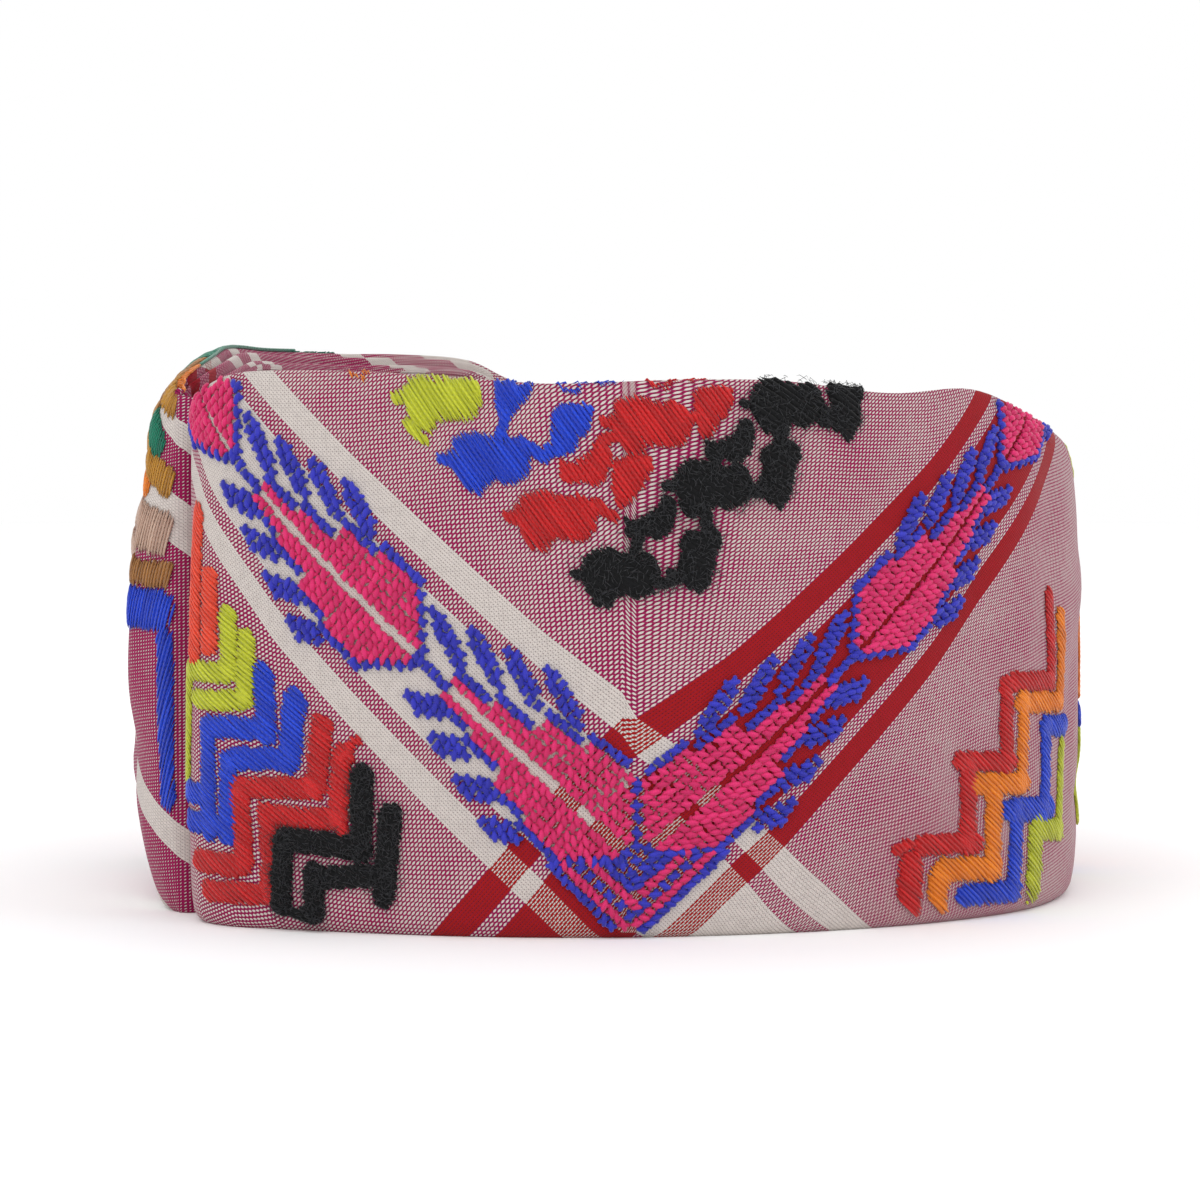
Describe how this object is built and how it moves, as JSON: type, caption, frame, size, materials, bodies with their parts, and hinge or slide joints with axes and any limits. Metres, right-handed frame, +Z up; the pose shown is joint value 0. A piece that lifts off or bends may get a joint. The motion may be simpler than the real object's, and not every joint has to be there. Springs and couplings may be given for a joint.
{
  "type": "keffiyeh headscarf, folded to a band and wound into a ring",
  "caption": "Embroidered cotton keffiyeh headscarf, folded on the diagonal to a broad band and wound into a head-sized hollow ring.",
  "frame": {"origin": "centre of the footprint, on the surface that the ring stands on", "axes": "+Z up, across the band's width; -Y to the front, where the corner of the border shows; +X to the right of someone facing that front"},
  "size_m": [0.1779, 0.1897, 0.1013],
  "materials": {
    "bordered_cloth": "matte",
    "rolled_cloth": "matte",
    "plain_cloth": "matte",
    "embroidery_thread": "satin"
  },
  "bodies": {
    "root": {"front_stretch": "bordered_cloth", "back_stretch": "rolled_cloth", "inner_back": "plain_cloth", "inner_front": "plain_cloth", "loose_end": "plain_cloth"}
  },
  "joints": []
}
